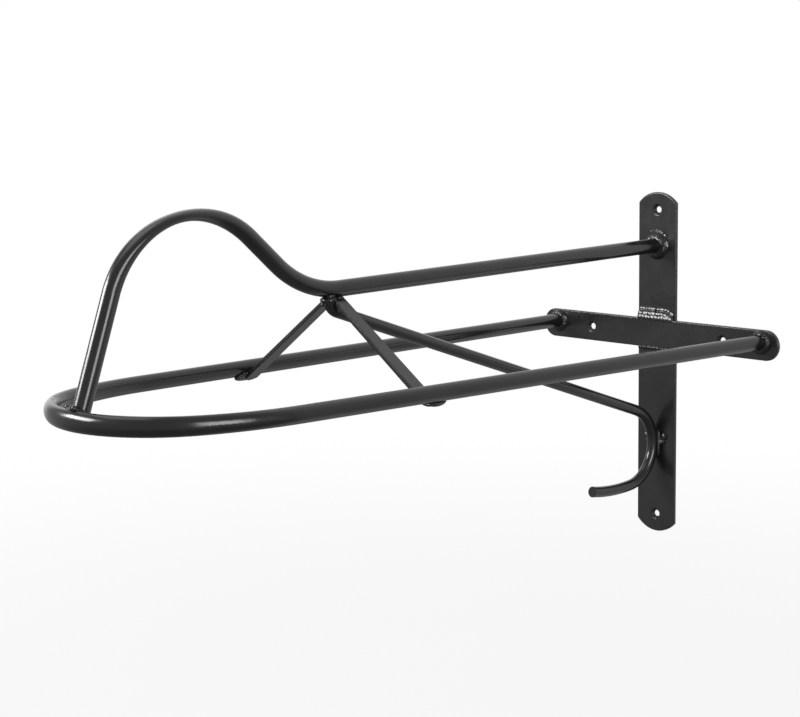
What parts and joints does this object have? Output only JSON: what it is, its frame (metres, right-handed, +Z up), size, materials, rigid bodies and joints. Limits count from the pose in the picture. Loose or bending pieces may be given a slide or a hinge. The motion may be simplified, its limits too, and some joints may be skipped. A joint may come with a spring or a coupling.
{
  "type": "wall-mounted saddle rack",
  "caption": "Wall-mounted steel saddle rack: tube hoop with round nose, humped centre rail, flat back plates, braced by a bent rod that ends in a bridle hook.",
  "frame": {"origin": "on the wall plane (back of the upright plate), on the plate's centre line, level with the centre of the cross plate", "axes": "+X to the right along the wall, +Y into the wall (the rack stands out along -Y), +Z up"},
  "size_m": [0.266, 0.6161, 0.3191],
  "materials": {
    "plate": "black powder coat, semi-gloss",
    "tube": "black powder coat, semi-gloss",
    "weld": "black powder coat over rippled weld"
  },
  "bodies": {
    "root": {"wall_plate": "plate", "cross_plate": "plate", "saddle_hoop": "tube", "centre_rail": "tube", "hook_rod": "tube", "strut_right": "plate", "strut_left": "plate", "weld_rail_wall": "weld", "weld_hoop_left": "weld", "weld_hoop_right": "weld", "weld_cross_top": "weld", "weld_cross_bottom": "weld", "weld_nose": "weld", "weld_rod_top": "weld", "weld_strut_top_right": "weld", "weld_strut_top_left": "weld", "weld_strut_foot_right": "weld", "weld_strut_foot_left": "weld", "weld_hook_left": "weld", "weld_hook_right": "weld"}
  },
  "joints": []
}
